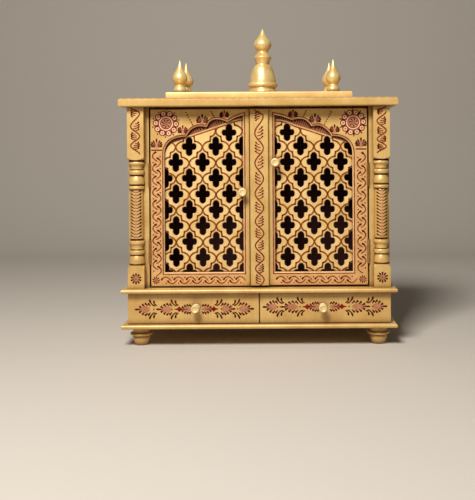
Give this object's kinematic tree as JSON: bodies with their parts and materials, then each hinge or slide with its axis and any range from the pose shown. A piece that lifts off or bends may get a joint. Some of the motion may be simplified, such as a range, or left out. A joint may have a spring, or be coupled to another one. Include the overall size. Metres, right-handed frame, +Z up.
{
  "type": "household altar cabinet",
  "caption": "Wooden home shrine cabinet in painted gold, with pierced jali doors under cusped arches, side pilasters, finials on top, drawers below and turned feet.",
  "frame": {"origin": "on the floor plane under the middle of the cabinet's overall box", "axes": "+Z up, -Y towards the front with the doors, +X to the right as seen from the front"},
  "size_m": [0.457, 0.209, 0.535],
  "materials": {
    "gold_painted_wood": "satin gold paint with fine maroon brush ornament over wood",
    "bright_gold_turning": "glossier gold paint on turned wood",
    "dark_stained_wood": "dark maroon brown stain, matt",
    "hinge_brass": "satin brass"
  },
  "bodies": {
    "cabinet": {"top_slab": "gold_painted_wood", "riser": "gold_painted_wood", "finial_centre": "bright_gold_turning", "finial_front_left": "bright_gold_turning", "finial_front_right": "bright_gold_turning", "finial_rear_left": "bright_gold_turning", "finial_rear_right": "bright_gold_turning", "mid_slab": "gold_painted_wood", "lower_slab": "gold_painted_wood", "side_panel_left": "gold_painted_wood", "side_panel_right": "gold_painted_wood", "back_panel": "dark_stained_wood", "stile_left": "gold_painted_wood", "stile_right": "gold_painted_wood", "pilaster_left": "gold_painted_wood", "pilaster_right": "gold_painted_wood", "drawer_case_end_left": "gold_painted_wood", "drawer_case_end_right": "gold_painted_wood", "drawer_divider": "gold_painted_wood", "drawer_case_back": "gold_painted_wood", "foot_front_left": "gold_painted_wood", "foot_front_right": "gold_painted_wood", "foot_rear_left": "gold_painted_wood", "foot_rear_right": "gold_painted_wood", "hinge_lower_left_fixed_leaf": "hinge_brass", "hinge_upper_left_fixed_leaf": "hinge_brass", "hinge_lower_right_fixed_leaf": "hinge_brass", "hinge_upper_right_fixed_leaf": "hinge_brass"},
    "door_left": {"hinge_lower_left_door_leaf": "hinge_brass", "hinge_upper_left_door_leaf": "hinge_brass", "door_jali_left": "gold_painted_wood", "door_frame_left": "gold_painted_wood", "door_knob_left": "bright_gold_turning"},
    "drawer_left": {"drawer_front_left": "gold_painted_wood", "drawer_bottom_left": "gold_painted_wood", "drawer_side_inner_left": "gold_painted_wood", "drawer_side_outer_left": "gold_painted_wood", "drawer_back_left": "gold_painted_wood", "drawer_knob_left": "bright_gold_turning"},
    "door_right": {"hinge_lower_right_door_leaf": "hinge_brass", "hinge_upper_right_door_leaf": "hinge_brass", "door_jali_right": "gold_painted_wood", "door_frame_right": "gold_painted_wood", "door_knob_right": "bright_gold_turning", "door_astragal": "gold_painted_wood"},
    "drawer_right": {"drawer_front_right": "gold_painted_wood", "drawer_bottom_right": "gold_painted_wood", "drawer_side_inner_right": "gold_painted_wood", "drawer_side_outer_right": "gold_painted_wood", "drawer_back_right": "gold_painted_wood", "drawer_knob_right": "bright_gold_turning"}
  },
  "joints": [
    {"name": "door_left_hinge", "type": "hinge", "parent": "cabinet", "child": "door_left", "pos_m": [-0.1812, -0.0765, 0.237], "axis": [0, 0, -1], "range_deg": [0, 115]},
    {"name": "door_right_hinge", "type": "hinge", "parent": "cabinet", "child": "door_right", "pos_m": [0.1812, -0.0765, 0.237], "axis": [0, 0, 1], "range_deg": [0, 115]},
    {"name": "drawer_left_slide", "type": "slide", "parent": "cabinet", "child": "drawer_left", "axis": [0, -1, 0], "range_m": [0, 0.12]},
    {"name": "drawer_right_slide", "type": "slide", "parent": "cabinet", "child": "drawer_right", "axis": [0, -1, 0], "range_m": [0, 0.12]}
  ]
}
